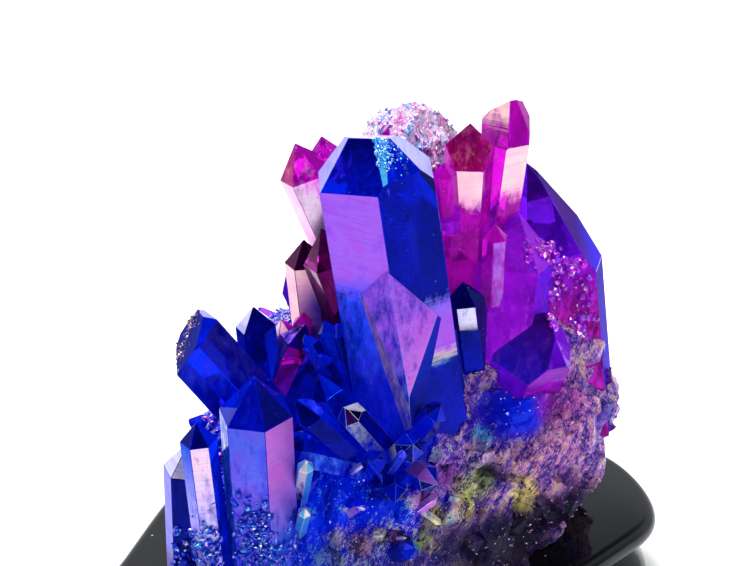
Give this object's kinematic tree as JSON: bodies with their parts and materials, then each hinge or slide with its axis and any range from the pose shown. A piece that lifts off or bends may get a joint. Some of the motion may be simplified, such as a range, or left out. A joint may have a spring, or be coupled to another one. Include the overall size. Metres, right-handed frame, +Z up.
{
  "type": "aura quartz cluster",
  "caption": "Cluster of metal-coated quartz points in blue, violet and magenta, grown on rough rock and resting on a black lacquered stand.",
  "frame": {"origin": "middle of the object's box in plan, on the surface that the stand rests on", "axes": "+X along the length of the stand, towards its rounded nose; -Y towards the front, where the largest crystal stands; +Z up"},
  "size_m": [0.1512, 0.104, 0.145],
  "materials": {
    "coated_quartz": "metal-coated, clear inside, iridescent blue to magenta",
    "black_lacquer": "high-gloss black lacquer"
  },
  "bodies": {
    "root": {"quartz_cluster": "coated_quartz", "display_stand": "black_lacquer"}
  },
  "joints": []
}
